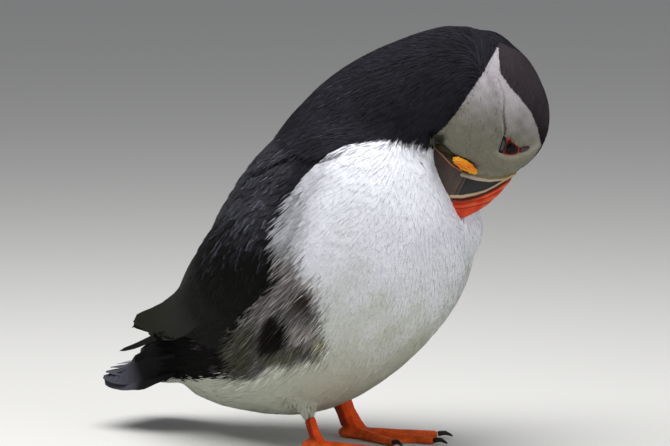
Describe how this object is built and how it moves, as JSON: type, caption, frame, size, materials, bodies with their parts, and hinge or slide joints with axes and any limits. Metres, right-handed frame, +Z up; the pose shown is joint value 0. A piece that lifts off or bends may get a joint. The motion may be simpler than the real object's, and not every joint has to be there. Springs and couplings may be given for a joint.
{
  "type": "atlantic puffin",
  "caption": "Life-size still model of a standing Atlantic puffin with its head bowed on to its breast, as in preening.",
  "frame": {"origin": "middle of the model's box on the floor, about midway between tail tip and bill, level with the soles", "axes": "+X the way the body faces, +Y the bird's left side, +Z up"},
  "size_m": [0.205, 0.1044, 0.1822],
  "materials": {
    "black_feathers": "blue-black feathers with paler edges",
    "white_feathers": "silky white feathers",
    "cheek_feathers": "short soft grey feathers",
    "bill_horn": "smooth horn, banded slate, cream and red",
    "rosette_skin": "wrinkled bare skin",
    "eye": "wet gloss",
    "leg_skin": "fine scales, slight sheen",
    "claw_horn": "dark horn"
  },
  "bodies": {
    "root": {"head": "cheek_feathers", "neck": "black_feathers", "trunk": "white_feathers", "tail": "black_feathers", "wing_left": "black_feathers", "wing_right": "black_feathers", "thigh_left": "white_feathers", "thigh_right": "white_feathers", "shank_left": "leg_skin", "shank_right": "leg_skin", "foot_left": "leg_skin", "foot_right": "leg_skin", "claw_outer_left": "claw_horn", "claw_middle_left": "claw_horn", "claw_inner_left": "claw_horn", "claw_outer_right": "claw_horn", "claw_middle_right": "claw_horn", "claw_inner_right": "claw_horn", "bill_upper": "bill_horn", "bill_lower": "bill_horn", "rosette_left": "rosette_skin", "rosette_right": "rosette_skin", "eye_left": "eye", "eye_right": "eye"}
  },
  "joints": []
}
